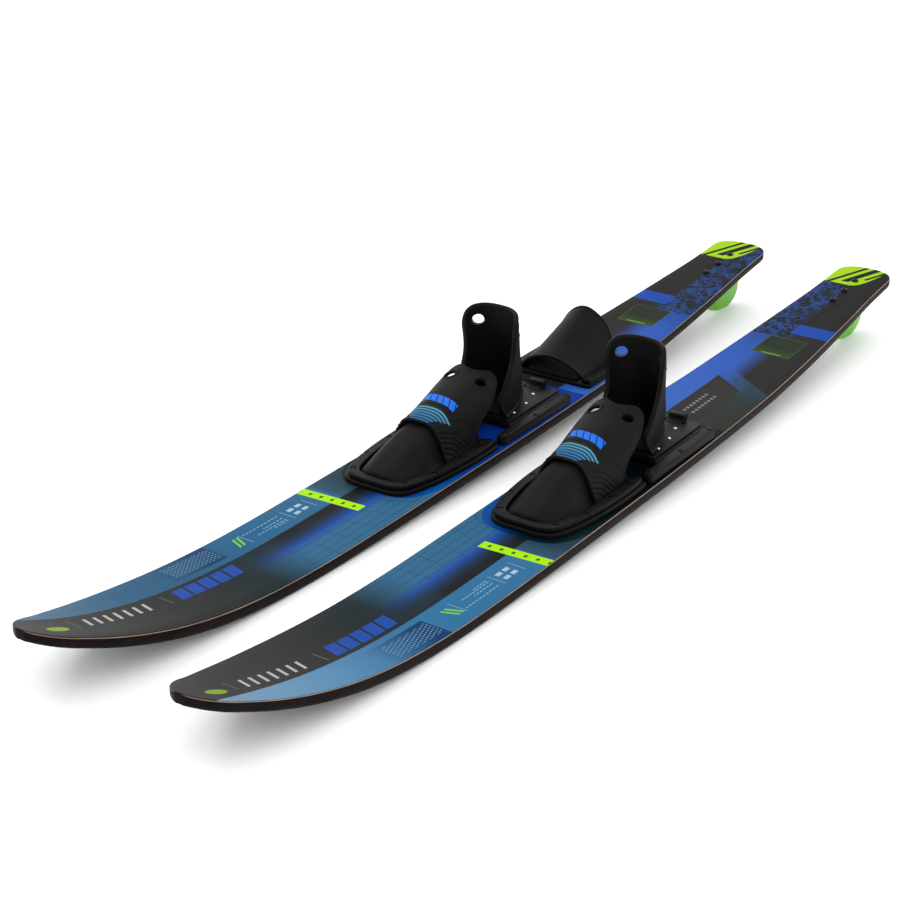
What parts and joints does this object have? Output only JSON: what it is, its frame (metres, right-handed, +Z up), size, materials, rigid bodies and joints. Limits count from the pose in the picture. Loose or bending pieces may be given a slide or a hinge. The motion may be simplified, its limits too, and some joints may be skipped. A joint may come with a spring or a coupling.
{
  "type": "water ski pair",
  "caption": "Pair of combo water skis with upturned tips, tail fins, rubber toe and heel bindings on sliding plates, and one rear toe piece.",
  "frame": {"origin": "on the ground, at the middle of the pair's box seen from above", "axes": "+Z up, -Y towards the tips, +X towards the skier's left ski"},
  "size_m": [0.3868, 1.7024, 0.2018],
  "materials": {
    "core": "satin dark laminate side wall and base",
    "top_sheet": "printed gloss sheet, steel blue and charcoal with lime marks",
    "fin": "lime green moulded plastic",
    "nylon": "black moulded nylon",
    "rubber": "soft matte black rubber",
    "foam": "matte black foam pad",
    "black_screw": "black coated steel",
    "steel": "plain steel"
  },
  "bodies": {
    "left_ski": {"left_ski_core": "core", "left_top_sheet": "top_sheet", "left_fin": "fin", "left_fin_screw_1": "black_screw", "left_fin_screw_2": "black_screw", "left_fin_screw_3": "black_screw", "left_toe_plate": "nylon", "left_toe_frame": "nylon", "left_toe_cover": "rubber", "left_instep_wrap": "rubber", "left_footbed": "foam", "left_rail_1": "nylon", "left_rail_2": "nylon", "left_rail_screw_1": "black_screw", "left_rail_screw_2": "black_screw", "left_rail_screw_3": "black_screw", "left_rail_screw_4": "black_screw", "left_rail_screw_5": "black_screw", "left_rail_screw_6": "black_screw", "left_index_strip": "nylon"},
    "left_heel": {"left_heel_plate": "nylon", "left_heel_cup": "rubber", "left_heel_pad": "foam", "left_latch_pin": "steel"},
    "left_latch_lever": {"left_latch": "nylon"},
    "right_ski": {"right_ski_core": "core", "right_top_sheet": "top_sheet", "right_fin": "fin", "right_fin_screw_1": "black_screw", "right_fin_screw_2": "black_screw", "right_fin_screw_3": "black_screw", "right_toe_plate": "nylon", "right_toe_frame": "nylon", "right_toe_cover": "rubber", "right_instep_wrap": "rubber", "right_footbed": "foam", "right_rail_1": "nylon", "right_rail_2": "nylon", "right_rail_screw_1": "black_screw", "right_rail_screw_2": "black_screw", "right_rail_screw_3": "black_screw", "right_rail_screw_4": "black_screw", "right_rail_screw_5": "black_screw", "right_rail_screw_6": "black_screw", "right_index_strip": "nylon", "right_rear_toe_plate": "nylon", "right_rear_toe_pad": "foam", "right_rear_toe_hood": "rubber", "right_rear_toe_clamp_1": "nylon", "right_rear_toe_clamp_2": "nylon", "right_rear_toe_screw_1": "black_screw", "right_rear_toe_screw_2": "black_screw", "right_rear_toe_screw_3": "black_screw", "right_rear_toe_screw_4": "black_screw"},
    "right_heel": {"right_heel_plate": "nylon", "right_heel_cup": "rubber", "right_heel_pad": "foam", "right_latch_pin": "steel"},
    "right_latch_lever": {"right_latch": "nylon"}
  },
  "joints": [
    {"name": "right_ski_lift", "type": "slide", "parent": "left_ski", "child": "right_ski", "axis": [0, 0, 1], "range_m": [0, 0.3]},
    {"name": "left_heel_slide", "type": "slide", "parent": "left_ski", "child": "left_heel", "axis": [0, -0.9992, -0.0411], "range_m": [0, 0.024]},
    {"name": "left_latch_hinge", "type": "hinge", "parent": "left_heel", "child": "left_latch_lever", "pos_m": [0.1268, 0.17098, 0.05111], "axis": [1, 0, 0], "range_deg": [0, 35], "stiffness_Nm_per_rad": 0.03, "springref_deg": -17.19},
    {"name": "right_heel_slide", "type": "slide", "parent": "right_ski", "child": "right_heel", "axis": [0, -0.9992, -0.0411], "range_m": [0, 0.024]},
    {"name": "right_latch_hinge", "type": "hinge", "parent": "right_heel", "child": "right_latch_lever", "pos_m": [-0.1038, 0.16099, 0.0507], "axis": [1, 0, 0], "range_deg": [0, 35], "stiffness_Nm_per_rad": 0.03, "springref_deg": -17.19}
  ]
}
